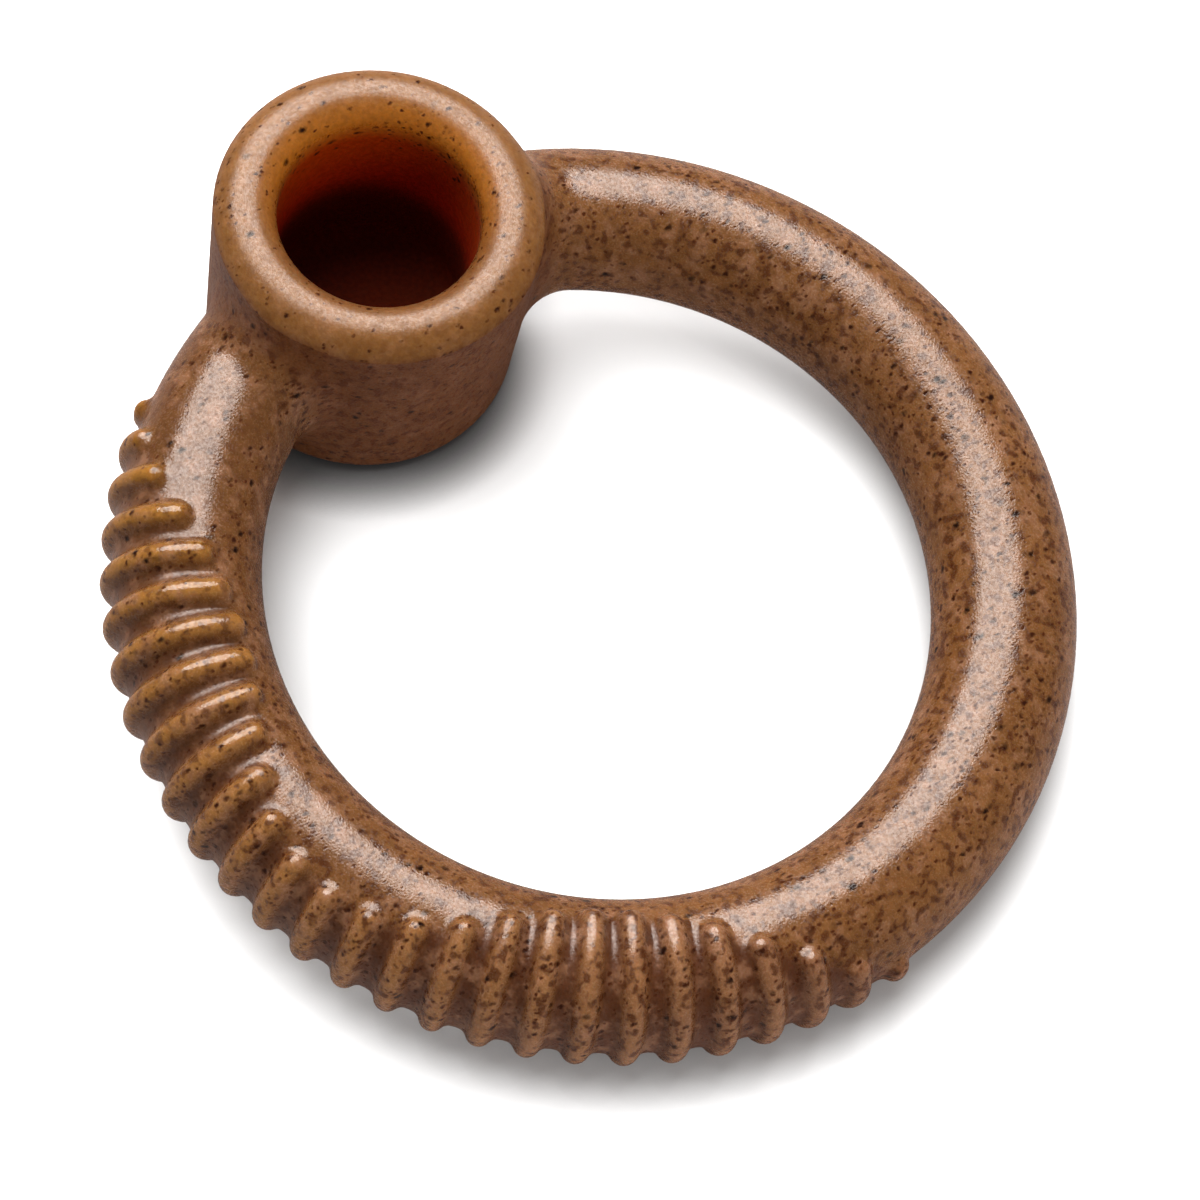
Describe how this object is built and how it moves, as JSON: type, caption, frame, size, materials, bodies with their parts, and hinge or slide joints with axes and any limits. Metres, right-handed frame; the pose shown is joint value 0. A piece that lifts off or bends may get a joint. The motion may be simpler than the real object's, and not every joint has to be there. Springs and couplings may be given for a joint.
{
  "type": "nylon chew ring",
  "caption": "Moulded nylon dog chew: a round bar closed into a ring by a thick-walled cup, open at the top, with a grip of raised half-round ribs along one side.",
  "frame": {"origin": "centre of the cup's flat base", "axes": "+Z along the cup's axis, out of its mouth; +X from the cup towards the ring's centre; the ribbed grip lies towards -Y"},
  "size_m": [0.1463, 0.1334, 0.0376],
  "materials": {
    "nylon": "satin moulded nylon, mottled brown with fine dark specks"
  },
  "bodies": {
    "root": {"cup": "nylon", "smooth_bar": "nylon", "ribbed_bar": "nylon", "rib_01": "nylon", "rib_02": "nylon", "rib_03": "nylon", "rib_04": "nylon", "rib_05": "nylon", "rib_06": "nylon", "rib_07": "nylon", "rib_08": "nylon", "rib_09": "nylon", "rib_10": "nylon", "rib_11": "nylon", "rib_12": "nylon", "rib_13": "nylon", "rib_14": "nylon", "rib_15": "nylon", "rib_16": "nylon", "rib_17": "nylon", "rib_18": "nylon", "rib_19": "nylon", "rib_20": "nylon", "rib_21": "nylon", "rib_22": "nylon", "rib_23": "nylon", "rib_24": "nylon", "rib_25": "nylon", "rib_26": "nylon", "rib_27": "nylon"}
  },
  "joints": []
}
